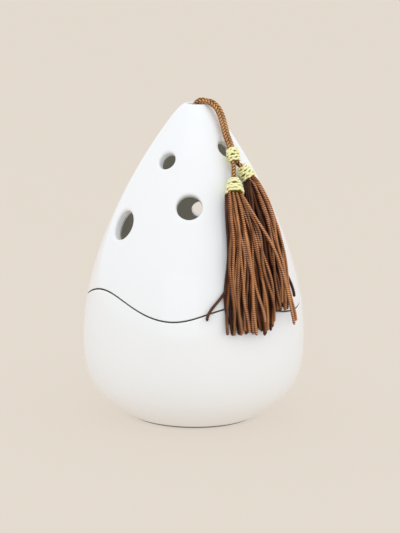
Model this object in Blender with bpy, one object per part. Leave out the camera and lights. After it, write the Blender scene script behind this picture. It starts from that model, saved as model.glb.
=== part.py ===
"""Egg-shaped porcelain ocarina whose shell parts along a wavy line, with a tasselled cord.

Metres, +Z up. The origin is on the ground under the middle of the foot, and the playing
holes face -Y. Angles round the body are azimuths in degrees: 0 is the front (-Y) and they
grow towards +X.
"""
import math

import bmesh
import bpy
from mathutils import Matrix, Vector

MM = 0.001

# Porcelain shell: half-outline from the foot over the belly and shoulder to the blow hole.
FOOT_RADIUS = 24.7 * MM
BELLY_RADIUS = 45.0 * MM
BELLY_HEIGHT = 32.4 * MM
SHOULDER_RADIUS = 9.9 * MM
SHOULDER_HEIGHT = 121.9 * MM
TIP_RADIUS = 4.3 * MM
TIP_HEIGHT = 127.3 * MM
FOOT_ANGLE = 31.2  # rise of the wall just above the foot
SHOULDER_SLOPE = 36.1  # lean of the wall from the vertical at the shoulder
WALL = 3.5 * MM
FOOT_RING_WIDTH = 4.6 * MM
FOOT_RECESS = 1.2 * MM
# Handles of the outline's curves, as shares of the height that each curve spans.
FOOT_HANDLE = 0.47
UNDER_BELLY_HANDLE = 0.635
OVER_BELLY_HANDLE = 0.276
SHOULDER_HANDLE = 0.447
CROWN_HANDLE = 0.45
TIP_HANDLE = 0.2
BLOW_HOLE_RADIUS = 3.6 * MM

# Wavy parting line: crests and troughs as (azimuth, height), once round the body.
WAVE = (
    (-57.0, 55.6 * MM), (-12.0, 47.3 * MM), (22.0, 52.6 * MM), (66.0, 47.4 * MM),
    (113.0, 54.2 * MM), (161.0, 47.6 * MM), (210.0, 54.0 * MM), (258.0, 48.0 * MM),
)
PARTING_GAP = 0.4 * MM
LIP_HEIGHT = 4.0 * MM
LIP_THICKNESS = 1.4 * MM
LIP_CLEARANCE = 0.4 * MM
LIP_SETBACK = WALL - LIP_THICKNESS

# Playing holes: name, azimuth, height of the centre, radius.
HOLES = (
    ("upper_left", -34.6, 106.7 * MM, 3.5 * MM),
    ("upper_right", 45.3, 111.1 * MM, 3.5 * MM),
    ("middle", -4.4, 90.3 * MM, 5.0 * MM),
    ("lower_left", -58.5, 81.0 * MM, 6.0 * MM),
    ("lower_right", 58.5, 81.0 * MM, 6.0 * MM),
    ("thumb", 175.0, 80.5 * MM, 4.0 * MM),
)

# Cord, wrap and tassels.
CORD_DIAMETER = 3.1 * MM
BRANCH_DIAMETER = 2.0 * MM
STRAND_DIAMETER = 1.2 * MM
GAP = 0.35 * MM
KNOT_RADIUS = 5.0 * MM
KNOT_DROP = 9.0 * MM  # knot centre below the blow hole's rim
CORD_ROUTE = (
    (-0.4, 0.2, 124.0), (-0.3, 0.15, 125.2), (0.2, -0.1, 126.6), (1.2, -0.7, 127.8),
    (2.6, -1.5, 128.45), (4.1, -2.35, 128.5), (5.7, -3.25, 128.1), (7.3, -4.2, 127.2),
    (8.8, -5.3, 125.6), (9.95, -6.6, 123.4), (10.8, -8.2, 120.9), (11.5, -10.0, 118.5),
    (12.1, -11.9, 116.3), (12.9, -13.5, 114.4), (13.6, -14.8, 112.6), (14.3, -16.0, 110.9),
    (14.9, -17.1, 109.1), (15.25, -17.9, 107.7),
)
RIM_POINT = 5  # the route point on top of the rim, where the cord is pressed thin
RIM_SQUEEZE = 0.26  # share of its thickness that the cord loses there
SQUEEZE_REACH = 2.6 * MM
LIFT_POINT = 6  # the route point over the rim where the hanging stretch begins
WRAP_LENGTH = 5.6 * MM
WRAP_RADIUS = 2.75 * MM
WRAP_OVERHANG = 1.2 * MM  # wrap past the end of the cord
BRANCH_SPREAD = 1.25 * MM  # each branch cord from the middle of the wrap
BRANCH_DROP = 1.3 * MM  # top of the branch cords below the wrap
CAP_WALL = 0.5 * MM
CAP_ROUND = 0.4 * MM
STRAND_PITCH = 1.6 * MM  # strands side by side under a cap
ROW_PITCH = 1.5 * MM  # rows of strands under a cap
INNER_LAYER = 1.0 * MM  # middle of the strands that lie on the shell
OUTER_LAYER = 2.6 * MM
STRAND_WANDER = 0.25 * MM
STRAND_POINTS = 12
LAYER_SHARE = 0.9  # share of a strand's length over which it settles into its layer
FLICK_START = 0.7  # share of a stray strand's length where it turns aside
BOW_LEAD = 0.6  # below 1 the sideways bow of a tassel is fullest above its middle

# Each tassel: cap's ends as (azimuth, height, clear of the shell), its end radii, strands
# in the first row, where they end, how far apart, and the stray ones that flick sideways.
TASSELS = {
    "left": {
        "side": -1.0, "top": (32.9, 98.8 * MM, 3.4 * MM), "bottom": (29.5, 93.2 * MM, 4.2 * MM),
        "radii": (2.6 * MM, 3.8 * MM), "row": 5, "end_azimuth": 29.2, "end_height": 43.0 * MM,
        "end_pitch": 2.2 * MM, "bow": 0.0,
        "strays": {1: (-8.5 * MM, 4.6 * MM)},
    },
    "right": {
        "side": 1.0, "top": (46.0, 103.1 * MM, 3.3 * MM), "bottom": (49.5, 98.5 * MM, 3.6 * MM),
        "radii": (2.5 * MM, 3.1 * MM), "row": 4, "end_azimuth": 50.8, "end_height": 49.6 * MM,
        "end_pitch": 1.9 * MM, "bow": 5.5,
        "strays": {4: (5.0 * MM, 3.0 * MM), 10: (3.8 * MM, -5.0 * MM)},
    },
}

ROUND_STEPS = 56
STRETCH_STEPS = 60


def bezier(start, leave, arrive, end, steps):
    """Points of a cubic curve from start to end, both included."""
    points = []
    for step in range(steps + 1):
        t = step / steps
        weights = ((1 - t) ** 3, 3 * (1 - t) ** 2 * t, 3 * (1 - t) * t * t, t ** 3)
        corners = (start, leave, arrive, end)
        points.append(tuple(
            sum(w * c[axis] for w, c in zip(weights, corners)) for axis in (0, 1)))
    return points


def outline(steps):
    """Outer half-outline (radius, height) from the foot to the rim of the blow hole."""
    foot_rise = math.radians(FOOT_ANGLE)
    lean = math.radians(SHOULDER_SLOPE)
    slope = (-math.sin(lean), math.cos(lean))
    foot = (FOOT_RADIUS, 0.0)
    belly = (BELLY_RADIUS, BELLY_HEIGHT)
    shoulder = (SHOULDER_RADIUS, SHOULDER_HEIGHT)
    tip = (TIP_RADIUS, TIP_HEIGHT)
    bowl_pull = FOOT_HANDLE * BELLY_HEIGHT
    belly_pull = UNDER_BELLY_HANDLE * BELLY_HEIGHT
    rise = SHOULDER_HEIGHT - BELLY_HEIGHT
    crown = TIP_HEIGHT - SHOULDER_HEIGHT
    under = bezier(
        foot,
        (foot[0] + bowl_pull * math.cos(foot_rise), bowl_pull * math.sin(foot_rise)),
        (belly[0], belly[1] - belly_pull), belly, steps)
    pull = SHOULDER_HANDLE * rise
    over = bezier(
        belly, (belly[0], belly[1] + OVER_BELLY_HANDLE * rise),
        (shoulder[0] - pull * slope[0], shoulder[1] - pull * slope[1]), shoulder, 2 * steps)
    push = CROWN_HANDLE * crown
    rim = bezier(
        shoulder, (shoulder[0] + push * slope[0], shoulder[1] + push * slope[1]),
        (tip[0] + TIP_HANDLE * crown, tip[1]), tip, steps)
    return under + over[1:] + rim[1:]


FINE_OUTLINE = outline(STRETCH_STEPS)


def wall_at(height):
    """Outer radius of the shell at a height, and the lean of its outward normal in radians."""
    for (r0, z0), (r1, z1) in zip(FINE_OUTLINE, FINE_OUTLINE[1:]):
        if z0 <= height <= z1:
            share = (height - z0) / max(z1 - z0, 1e-9)
            return r0 + (r1 - r0) * share, math.atan2(r0 - r1, z1 - z0)
    return FINE_OUTLINE[-1][0], math.pi / 2


def on_shell(azimuth, height, clear):
    """The point that stands clear of the outer surface, square to it, at azimuth and height."""
    radius, lean = wall_at(height)
    turn = math.radians(azimuth)
    reach = radius + clear * math.cos(lean)
    return Vector((reach * math.sin(turn), -reach * math.cos(turn),
                   height + clear * math.sin(lean)))


def wave_height(azimuth):
    """Height of the parting line: eased from crest to trough and back."""
    stations = WAVE + ((WAVE[0][0] + 360.0, WAVE[0][1]),)
    place = (azimuth - WAVE[0][0]) % 360.0 + WAVE[0][0]
    for (a0, z0), (a1, z1) in zip(stations, stations[1:]):
        if a0 <= place <= a1:
            share = (place - a0) / (a1 - a0)
            return z0 + (z1 - z0) * (0.5 - 0.5 * math.cos(math.pi * share))
    return WAVE[0][1]


WAVE_MIDDLE = sum(height for azimuth, height in WAVE) / len(WAVE)
WAVE_REACH = max(abs(height - WAVE_MIDDLE) for azimuth, height in WAVE)
WAVE_FADE = 3.2 * WAVE_REACH  # how far above and below the line the rings still follow it
BAND = WAVE_FADE + LIP_HEIGHT


def smooth(share):
    """0 to 1 with level ends."""
    share = min(max(share, 0.0), 1.0)
    return share * share * (3.0 - 2.0 * share)


def finish_object(name, mesh_or_curve, material, location=(0.0, 0.0, 0.0), turn=None):
    """Link one named object with its material."""
    made = bpy.data.objects.new(name, mesh_or_curve)
    bpy.context.scene.collection.objects.link(made)
    made.data.materials.append(material)
    made.location = location
    if turn is not None:
        made.rotation_euler = turn
    return made


def finish_mesh(name, bm, material, location=(0.0, 0.0, 0.0), turn=None):
    """Weld, turn the faces outwards and make a bmesh into an object."""
    bmesh.ops.remove_doubles(bm, verts=bm.verts, dist=0.00001)
    bmesh.ops.recalc_face_normals(bm, faces=bm.faces)
    mesh = bpy.data.meshes.new(name)
    bm.to_mesh(mesh)
    bm.free()
    mesh.shade_smooth()
    mesh.set_sharp_from_angle(angle=math.radians(35))
    return finish_object(name, mesh, material, location, turn)


def turned(profile, steps):
    """A solid of revolution about Z from a closed profile of (radius, height) points."""
    bm = bmesh.new()
    verts = [bm.verts.new((radius, 0.0, height)) for radius, height in profile]
    edges = [bm.edges.new(pair) for pair in zip(verts, verts[1:])]
    if profile[0][0] > 0.0:
        edges.append(bm.edges.new((verts[-1], verts[0])))
    bmesh.ops.spin(bm, geom=verts + edges, cent=(0, 0, 0), axis=(0, 0, 1),
                   angle=2 * math.pi, steps=steps, use_merge=True)
    return bm


def follow_wave(bm, middle):
    """Shift the rings near the parting line so that it rises and falls round the body."""
    for vert in bm.verts:
        reach = math.hypot(vert.co.x, vert.co.y)
        if reach < 0.5 * BELLY_RADIUS:
            continue
        azimuth = math.degrees(math.atan2(vert.co.x, -vert.co.y))
        fade = 1.0 - smooth((abs(vert.co.z - middle) - LIP_HEIGHT) / WAVE_FADE)
        depth = wall_at(vert.co.z)[0] - reach
        height = vert.co.z + fade * (wave_height(azimuth) - middle)
        scale = (wall_at(height)[0] - depth) / reach
        vert.co = Vector((vert.co.x * scale, vert.co.y * scale, height))


def shell_rings(low, high, inset, count):
    """(radius, height) points up the wall from low to high, inset from the outer surface."""
    rings = []
    for step in range(count + 1):
        height = low + (high - low) * step / count
        rings.append((wall_at(height)[0] - inset, height))
    return rings


def wall_rings(low, high, depth, count):
    """(radius, height) points of the wall between two heights, set in square by depth."""
    span = [ring for ring in FINE_OUTLINE if low <= ring[1] <= high]
    rings = []
    for step in range(count + 1):
        radius, height = span[round(step * (len(span) - 1) / count)]
        lean = wall_at(height)[1]
        rings.append((radius - depth * math.cos(lean), height - depth * math.sin(lean)))
    return rings


def porcelain():
    return make_material("white_porcelain", (0.90, 0.90, 0.89), 0.08, 0.0)


def make_material(name, colour, roughness, metallic):
    """A Principled material, made once and shared by name."""
    known = bpy.data.materials.get(name)
    if known:
        return known
    made = bpy.data.materials.new(name)
    made.use_nodes = True
    shader = made.node_tree.nodes["Principled BSDF"]
    shader.inputs["Base Color"].default_value = (*colour, 1.0)
    shader.inputs["Roughness"].default_value = roughness
    shader.inputs["Metallic"].default_value = metallic
    return made


def lower_shell():
    """Bowl with a foot ring, and a thin lip inside the wall that locates the upper shell."""
    seam = WAVE_MIDDLE - 0.5 * PARTING_GAP
    lip_top = seam + LIP_HEIGHT
    ring_inner = FOOT_RADIUS - FOOT_RING_WIDTH
    inner_floor = FOOT_RECESS + WALL
    outer_low = wall_rings(0.0, BELLY_HEIGHT, 0.0, 7)
    outer_high = shell_rings(BELLY_HEIGHT, seam, 0.0, 4)[1:]
    lip_outer = shell_rings(seam, lip_top, LIP_SETBACK, 2)
    lip_inner = shell_rings(lip_top, seam, WALL, 1)
    inner = [ring for ring in wall_rings(0.0, seam - 0.5 * BAND, WALL, 9)
             if ring[1] > inner_floor + 0.5 * WALL]
    inner.reverse()
    floor_radius = inner[-1][0] - WALL
    profile = [(0.0, FOOT_RECESS), (ring_inner - FOOT_RECESS, FOOT_RECESS), (ring_inner, 0.0)]
    profile += outer_low + outer_high + lip_outer + lip_inner + inner
    profile += [(floor_radius, inner_floor), (0.0, inner_floor)]
    bm = turned(profile, ROUND_STEPS)
    follow_wave(bm, WAVE_MIDDLE)
    return finish_mesh("lower_shell", bm, porcelain())


def hole_cutter(name, azimuth, height, radius):
    """A plug square to the wall, long enough to pass right through it."""
    lean = wall_at(height)[1]
    depth = 2.4 * WALL
    bm = bmesh.new()
    bmesh.ops.create_cone(bm, cap_ends=True, segments=24, radius1=radius, radius2=radius,
                          depth=depth)
    middle = on_shell(azimuth, height, -0.5 * WALL)
    turn = Matrix.Rotation(math.radians(azimuth), 4, "Z") @ Matrix.Rotation(
        math.radians(90.0) - lean, 4, "X")
    bm.transform(Matrix.Translation(middle) @ turn)
    cutter = finish_mesh(name, bm, porcelain())
    cutter.hide_render = True
    cutter.display_type = "WIRE"
    return cutter


def upper_shell():
    """Cap of the egg: playing holes, the blow hole at the tip, and a rebate over the lip."""
    seam = WAVE_MIDDLE + 0.5 * PARTING_GAP
    rebate_top = WAVE_MIDDLE - 0.5 * PARTING_GAP + LIP_HEIGHT + LIP_CLEARANCE
    rebate_inset = LIP_SETBACK - LIP_CLEARANCE
    outer = shell_rings(seam, seam + 0.75 * BAND, 0.0, 3)
    outer += wall_rings(seam + BAND, SHOULDER_HEIGHT, 0.0, 6)
    outer += wall_rings(SHOULDER_HEIGHT, TIP_HEIGHT, 0.0, 4)[1:]
    throat = TIP_HEIGHT - WALL
    mouth = [(BLOW_HOLE_RADIUS, TIP_HEIGHT - 0.6 * MM), (BLOW_HOLE_RADIUS, throat)]
    inner = [ring for ring in wall_rings(seam + BAND, TIP_HEIGHT, WALL, 8)
             if ring[0] > BLOW_HOLE_RADIUS + 0.5 * MM]
    inner.reverse()
    lower_inner = shell_rings(seam + 0.75 * BAND, rebate_top, WALL, 2)
    rebate = shell_rings(rebate_top, seam, rebate_inset, 1)
    bm = turned(outer + mouth + inner + lower_inner + rebate, ROUND_STEPS)
    follow_wave(bm, WAVE_MIDDLE)
    shell = finish_mesh("upper_shell", bm, porcelain())
    for name, azimuth, height, radius in HOLES:
        cut = shell.modifiers.new(name, "BOOLEAN")
        cut.operation = "DIFFERENCE"
        cut.solver = "EXACT"
        cut.object = hole_cutter(name + "_cutter", azimuth, height, radius)
    return shell


def rounded_route(points, spacing):
    """Evenly spaced points on a smooth curve through the given ones."""
    fine = []
    padded = [points[0] * 2 - points[1]] + points + [points[-1] * 2 - points[-2]]
    for before, start, end, after in zip(padded, padded[1:], padded[2:], padded[3:]):
        for step in range(12):
            t = step / 12
            fine.append(0.5 * (
                2 * start + (end - before) * t
                + (2 * before - 5 * start + 4 * end - after) * t * t
                + (3 * start - before - 3 * end + after) * t ** 3))
    fine.append(points[-1].copy())
    lengths = [0.0]
    for start, end in zip(fine, fine[1:]):
        lengths.append(lengths[-1] + (end - start).length)
    count = max(2, round(lengths[-1] / spacing))
    spaced = []
    for step in range(count + 1):
        goal = lengths[-1] * step / count
        index = next(i for i in range(1, len(lengths)) if lengths[i] >= goal - 1e-12)
        share = (goal - lengths[index - 1]) / (lengths[index] - lengths[index - 1])
        spaced.append(fine[index - 1].lerp(fine[index], share))
    return spaced


def rim_squeeze(point, rim):
    """Share of its full thickness that the cord has at a point, given where the rim is."""
    away = min((point - rim).length / SQUEEZE_REACH, 1.0)
    return 1.0 - RIM_SQUEEZE * (0.5 + 0.5 * math.cos(math.pi * away))


def tube(name, points, diameter, material, shares=None):
    """A round cord: a poly curve with a bevel and filled caps, thinner where shares say so."""
    curve = bpy.data.curves.new(name, "CURVE")
    curve.dimensions = "3D"
    curve.bevel_depth = 0.5 * diameter
    curve.bevel_resolution = 2
    curve.use_fill_caps = True
    spline = curve.splines.new("POLY")
    spline.points.add(len(points) - 1)
    for place, point, share in zip(spline.points, points, shares or [1.0] * len(points)):
        place.co = (*point, 1.0)
        place.radius = share
    return finish_object(name, curve, material)


def copper_cord():
    return make_material("copper_brown_cord", (0.30, 0.13, 0.05), 0.65, 0.0)


def gold_thread():
    return make_material("pale_gold_thread", (0.72, 0.72, 0.28), 0.35, 0.6)


def axis_turn(direction):
    """Euler turn that lays an object's own +Z along direction."""
    return direction.to_track_quat("Z", "Y").to_euler()


def split_route(points, place):
    """Cut a route at the point nearest to place, with a gap and square, straight ends."""
    index = min(range(len(points)), key=lambda i: (points[i] - place).length)
    middle = points[index]
    along = (points[index + 1] - points[index - 1]).normalized()
    stub = 0.3 * CORD_DIAMETER
    before = points[:index] + [middle - along * 0.5 * GAP]
    before[-2] = middle - along * stub
    after = [middle + along * 0.5 * GAP] + points[index + 1:]
    after[1] = middle + along * stub
    return before, after


def lift_pivot(route):
    """Middle of the bend over the rim, on top of the cord, where the hanging stretch tips."""
    place = route[LIFT_POINT]
    along = (route[LIFT_POINT + 1] - route[LIFT_POINT - 1]).normalized()
    flat = Vector((along.x, along.y, 0.0)).normalized()
    above = (Vector((0.0, 0.0, 1.0)) * along.dot(flat) - flat * along.z).normalized()
    return place + above * (0.5 * CORD_DIAMETER + GAP)


def cord(route):
    """Stopper knot inside the tip, the neck over the rim and the stretch down to the wrap."""
    bm = bmesh.new()
    bmesh.ops.create_uvsphere(bm, u_segments=14, v_segments=8, radius=KNOT_RADIUS)
    knot = finish_mesh("stopper_knot", bm, copper_cord(), (0.0, 0.0, TIP_HEIGHT - KNOT_DROP))
    points = rounded_route(route, 0.5 * CORD_DIAMETER)
    before, after = split_route(points, route[LIFT_POINT])
    made = []
    for name, stretch in (("cord_neck", before), ("cord_drop", after)):
        shares = [rim_squeeze(point, route[RIM_POINT]) for point in stretch]
        made.append(tube(name, stretch, CORD_DIAMETER, copper_cord(), shares))
    neck, drop = made
    return [knot, neck], [drop]


def wrap(route):
    """Gold thread wound round the end of the cord where the two tassels branch off."""
    bore = 0.5 * CORD_DIAMETER + GAP
    half = 0.5 * WRAP_LENGTH
    profile = [(bore, -half), (WRAP_RADIUS - CAP_ROUND, -half), (WRAP_RADIUS, -0.6 * half),
               (WRAP_RADIUS, 0.4 * half), (WRAP_RADIUS - CAP_ROUND, half), (bore, half)]
    down = (route[-1] - route[-3]).normalized()
    end = route[-1] + down * WRAP_OVERHANG
    made = finish_mesh("collar_wrap", turned(profile, 20), gold_thread(), end - down * half,
                       axis_turn(-down))
    return made, end, down


def branch_top(wrap_end, wrap_down, side):
    """Where a branch cord begins, beside its twin just below the wrap."""
    out = Vector((wrap_end.x, wrap_end.y, 0.0)).normalized()
    sideways = Vector((-out.y, out.x, 0.0))
    return wrap_end + wrap_down * BRANCH_DROP + sideways * side * BRANCH_SPREAD


def tassel(name, plan, start):
    """A head wrapped in gold thread on a short branch cord, and its hanging strands."""
    top, bottom = on_shell(*plan["top"]), on_shell(*plan["bottom"])
    down = (bottom - top).normalized()
    length = (bottom - top).length
    top_radius, bottom_radius = plan["radii"]
    hole = 0.5 * BRANCH_DIAMETER + GAP
    mouth = bottom_radius - CAP_ROUND - CAP_WALL
    crown = -CAP_WALL
    shell = [(hole, 0.0), (top_radius - CAP_ROUND, 0.0), (top_radius, -0.12 * length),
             (bottom_radius, -0.88 * length), (bottom_radius - CAP_ROUND, -length),
             (mouth, -length), (bottom_radius - CAP_WALL, -0.85 * length),
             (top_radius - CAP_WALL, -0.2 * length), (top_radius - 2 * CAP_WALL, crown),
             (hole, crown)]
    cap = finish_mesh(name + "_tassel_cap", turned(shell, 20), gold_thread(), top,
                      axis_turn(-down))
    head_top = -CAP_WALL - BRANCH_DIAMETER
    head = [(0.0, head_top), (top_radius - CAP_WALL - GAP, head_top),
            (mouth - GAP, -0.88 * length), (mouth - GAP, -length), (0.0, -length)]
    core = finish_mesh(name + "_tassel_core", turned(head, 16), copper_cord(), top,
                       axis_turn(-down))
    end = top - down * (head_top + GAP)
    branch = [start, start.lerp(top, 0.5), top, end]
    twig = tube(name + "_branch_cord", rounded_route(branch, 0.6 * BRANCH_DIAMETER),
                BRANCH_DIAMETER, copper_cord())
    return [cap, core, twig] + strands(name, plan)


def strand_rows(count):
    """Three rows under a cap as (row, start step, end step) in their own pitches."""
    rows = [(0, k - 0.5 * (count - 1), 2 * k - (count - 1)) for k in range(count)]
    rows += [(1, k - 0.5 * (count - 2), 2 * k - (count - 2)) for k in range(count - 1)]
    rows += [(2, k - 0.5 * (count - 1), 2 * k - (count - 1) + 0.5) for k in range(count - 1)]
    return rows


def strands(name, plan):
    """Separate threads: three rows under the cap that open into two layers on the shell."""
    azimuth, height, clear = plan["bottom"]
    mouth = on_shell(*plan["bottom"])
    down = (mouth - on_shell(*plan["top"])).normalized()
    out = on_shell(azimuth, height, clear + 1.0) - mouth
    out = (out - down * out.dot(down)).normalized()
    sideways = out.cross(down)
    threads = []
    for number, (row, start_step, end_step) in enumerate(strand_rows(plan["row"]), 1):
        start_across = start_step * STRAND_PITCH
        start_clear = clear + (row - 1) * ROW_PITCH
        start = mouth + down * GAP + sideways * start_across + out * (start_clear - clear)
        end_across = end_step * plan["end_pitch"]
        end_clear = OUTER_LAYER if row == 2 else INNER_LAYER
        flick, shorter = plan["strays"].get(number, (0.0, 0.0))
        end_height = plan["end_height"] + shorter + 0.8 * MM * math.sin(2.4 * number)
        points = []
        for step in range(STRAND_POINTS):
            share = step / (STRAND_POINTS - 1)
            place = height + (end_height - height) * share
            turn = azimuth + (plan["end_azimuth"] - azimuth) * smooth(share)
            turn += plan["bow"] * math.sin(math.pi * share ** BOW_LEAD)
            lift = start_clear + (end_clear - start_clear) * smooth(share / LAYER_SHARE)
            across = end_across + (start_across - end_across) * (1.0 - share) ** 2
            across += flick * smooth((share - FLICK_START) / (1.0 - FLICK_START))
            across += STRAND_WANDER * math.sin(math.pi * share) * math.sin(
                5.0 * share + 0.3 * start_step)
            reach = wall_at(place)[0] + lift
            points.append(on_shell(turn + math.degrees(across / reach), place, lift))
        slack = start - points[0]
        for step, point in enumerate(points):
            point += slack * (1.0 - smooth(2.0 * step / (STRAND_POINTS - 1)))
        threads.append(
            tube(f"{name}_strand_{number:02d}", points, STRAND_DIAMETER, copper_cord()))
    return threads


def pivot(name, place, pieces, parent=None):
    """An empty on a joint's axis that carries the pieces which turn about it."""
    empty = bpy.data.objects.new(name, None)
    bpy.context.scene.collection.objects.link(empty)
    empty.location = place
    empty["world_place"] = place
    if parent is not None:
        empty.parent = parent
        empty.location = place - Vector(parent["world_place"])
    for piece in pieces:
        piece.parent = empty
        piece.location = piece.location - place
    return empty


def main():
    for made in list(bpy.data.objects):
        bpy.data.objects.remove(made)
    lower_shell()
    upper_shell()
    route = [Vector(point) * MM for point in CORD_ROUTE]
    held, hanging = cord(route)
    made, wrap_end, wrap_down = wrap(route)
    pivot("cord_swivel_axis", Vector((0.0, 0.0, TIP_HEIGHT)), held)
    lift = pivot("cord_lift_axis", lift_pivot(route), hanging + [made])
    for name, plan in TASSELS.items():
        start = branch_top(wrap_end, wrap_down, plan["side"])
        pivot(name + "_tassel_axis", start, tassel(name, plan, start), lift)


main()
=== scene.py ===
import bisect
import math
import random

import bmesh
import bpy
from mathutils import Matrix, Vector
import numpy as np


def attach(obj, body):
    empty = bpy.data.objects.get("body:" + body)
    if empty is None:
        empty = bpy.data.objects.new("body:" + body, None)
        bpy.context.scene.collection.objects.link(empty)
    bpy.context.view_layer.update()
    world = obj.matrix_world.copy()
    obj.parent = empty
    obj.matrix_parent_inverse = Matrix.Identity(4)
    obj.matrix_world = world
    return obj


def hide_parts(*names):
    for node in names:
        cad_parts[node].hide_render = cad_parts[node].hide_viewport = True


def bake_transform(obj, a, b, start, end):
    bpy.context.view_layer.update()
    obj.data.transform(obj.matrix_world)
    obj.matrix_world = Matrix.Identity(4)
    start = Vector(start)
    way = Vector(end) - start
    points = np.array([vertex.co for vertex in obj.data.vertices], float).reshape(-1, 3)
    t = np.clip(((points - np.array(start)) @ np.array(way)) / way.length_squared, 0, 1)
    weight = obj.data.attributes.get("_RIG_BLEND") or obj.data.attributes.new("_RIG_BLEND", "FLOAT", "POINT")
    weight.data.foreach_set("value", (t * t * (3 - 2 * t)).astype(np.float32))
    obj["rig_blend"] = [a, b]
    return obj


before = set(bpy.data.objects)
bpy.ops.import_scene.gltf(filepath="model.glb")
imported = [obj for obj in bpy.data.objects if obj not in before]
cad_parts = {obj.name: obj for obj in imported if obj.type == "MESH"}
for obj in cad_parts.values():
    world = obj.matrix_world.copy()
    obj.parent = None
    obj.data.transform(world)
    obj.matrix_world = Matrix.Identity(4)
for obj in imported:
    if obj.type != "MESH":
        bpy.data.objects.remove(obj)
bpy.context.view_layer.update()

MM = 0.001

# Studio. A pale, warm sweep lit from behind, a white room all round, three soft lights of cool
# white (overhead, low in front and low at the right), and a long lens that looks a little down.
scene = bpy.context.scene
scene.view_settings.view_transform = "Standard"
camera = bpy.data.objects.new("studio_camera", bpy.data.cameras.new("studio_camera"))
scene.collection.objects.link(camera)
camera.data.lens = 136.0
camera.data.sensor_width = 36.0
camera.data.clip_start = 0.01
LENS_PLACE = Vector((0.0, -0.8, 0.2211))
LENS_AIM = Vector((0.0023, 0.0, 0.0609))
LENS_ROLL = math.radians(0.57)
camera.matrix_world = (
    Matrix.Translation(LENS_PLACE)
    @ (LENS_AIM - LENS_PLACE).to_track_quat("-Z", "Y").to_matrix().to_4x4()
    @ Matrix.Rotation(LENS_ROLL, 4, "Z"))
scene.camera = camera

ROOM_WHITE = (0.95, 0.968, 1.0, 1.0)
ROOM_STRENGTH = 1.04
room = bpy.data.worlds.new("white_room")
room.use_nodes = True
room.node_tree.nodes["Background"].inputs["Color"].default_value = ROOM_WHITE
room.node_tree.nodes["Background"].inputs["Strength"].default_value = ROOM_STRENGTH
scene.world = room


def soft_light(name, place, width, power, colour=(1.0, 1.0, 1.0)):
    """A square softbox that faces the object."""
    light = bpy.data.lights.new(name, "AREA")
    light.shape = "SQUARE"
    light.size = width
    light.energy = power
    light.color = colour
    made = bpy.data.objects.new(name, light)
    scene.collection.objects.link(made)
    aim = Vector((0.0, 0.0, 0.06)) - Vector(place)
    made.matrix_world = (Matrix.Translation(place)
                         @ aim.to_track_quat("-Z", "Y").to_matrix().to_4x4())
    return made


soft_light("overhead_softbox", (0.0, -0.2, 1.3), 1.1, 0.9)
soft_light("front_softbox", (-0.3, -1.2, 0.12), 0.9, 1.6, (0.66, 0.85, 1.0))
soft_light("side_softbox", (1.1, -0.4, 0.25), 0.7, 0.8, (0.85, 0.93, 1.0))


class Value:
    """A number that varies over a surface. Arithmetic on it adds Math nodes."""

    def __init__(self, finish, socket):
        self.finish = finish
        self.socket = socket

    def join(self, operation, first, second):
        return self.finish.node("ShaderNodeMath", {"operation": operation},
                                {0: first, 1: second})

    def __add__(self, other):
        return self.join("ADD", self, other)

    def __sub__(self, other):
        return self.join("SUBTRACT", self, other)

    def __mul__(self, other):
        return self.join("MULTIPLY", self, other)

    def __rsub__(self, other):
        return self.join("SUBTRACT", other, self)

    __radd__ = __add__
    __rmul__ = __mul__


class Finish:
    """A material and the nodes that paint it."""

    def __init__(self, name, constants):
        self.material = bpy.data.materials.new(name)
        self.material.use_nodes = True
        self.tree = self.material.node_tree
        self.surface = self.tree.nodes["Principled BSDF"]
        self.feed(self.surface, constants)

    def feed(self, node, sockets):
        for socket, value in sockets.items():
            if isinstance(value, Value):
                self.tree.links.new(value.socket, node.inputs[socket])
            else:
                node.inputs[socket].default_value = value

    def node(self, kind, settings, sockets, output=0):
        """One node: its settings first, then what goes into its sockets."""
        made = self.tree.nodes.new(kind)
        for setting, value in settings.items():
            if setting == "stops":
                ramp = made.color_ramp
                while len(ramp.elements) < len(value):
                    ramp.elements.new(0.5)
                for element, (place, colour) in zip(ramp.elements, value):
                    element.position = place
                    element.color = (*colour, 1.0)
            else:
                setattr(made, setting, value)
        self.feed(made, sockets)
        return Value(self, made.outputs[output])

    def mix(self, share, first, second):
        """A colour between two colours."""
        return self.node("ShaderNodeMix", {"data_type": "RGBA"},
                         {0: share, 6: first, 7: second}, 2)

    def grain(self, where, scale, detail=3.0, roughness=0.5):
        """Soft noise from 0 to 1."""
        return self.node("ShaderNodeTexNoise", {},
                         {"Vector": where, "Scale": scale, "Detail": detail,
                          "Roughness": roughness})

    def raise_surface(self, height, depth):
        """A bump of that depth in metres from a height of 0 to 1."""
        return self.node("ShaderNodeBump", {}, {"Height": height, "Distance": depth,
                                                 "Strength": 1.0})


SWEEP_COLOUR = (0.767, 0.694, 0.610)
SWEEP_GLOW = 0.815  # share of its brightness that comes from lamps behind it
SWEEP_FIBRES = (0.19, 0.20)  # share of the colour that its fibres send back, dark and light
bm = bmesh.new()
bmesh.ops.create_grid(bm, x_segments=8, y_segments=8, size=9.0)
sweep_mesh = bpy.data.meshes.new("paper_sweep")
bm.to_mesh(sweep_mesh)
bm.free()
sweep = bpy.data.objects.new("paper_sweep", sweep_mesh)
scene.collection.objects.link(sweep)
paper = Finish("translucent_sweep", {"Roughness": 0.95, "Specular IOR Level": 0.0,
                                     "Emission Color": (*SWEEP_COLOUR, 1.0),
                                     "Emission Strength": SWEEP_GLOW})
paper_place = paper.node("ShaderNodeTexCoord", {}, {}, "Object")
paper_fibre = paper.grain(paper_place, 900.0)
paper.feed(paper.surface, {
    "Base Color": paper.mix(paper_fibre, *[(*[share * c for c in SWEEP_COLOUR], 1.0)
                                           for share in SWEEP_FIBRES])})
sweep_mesh.materials.append(paper.material)

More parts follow.
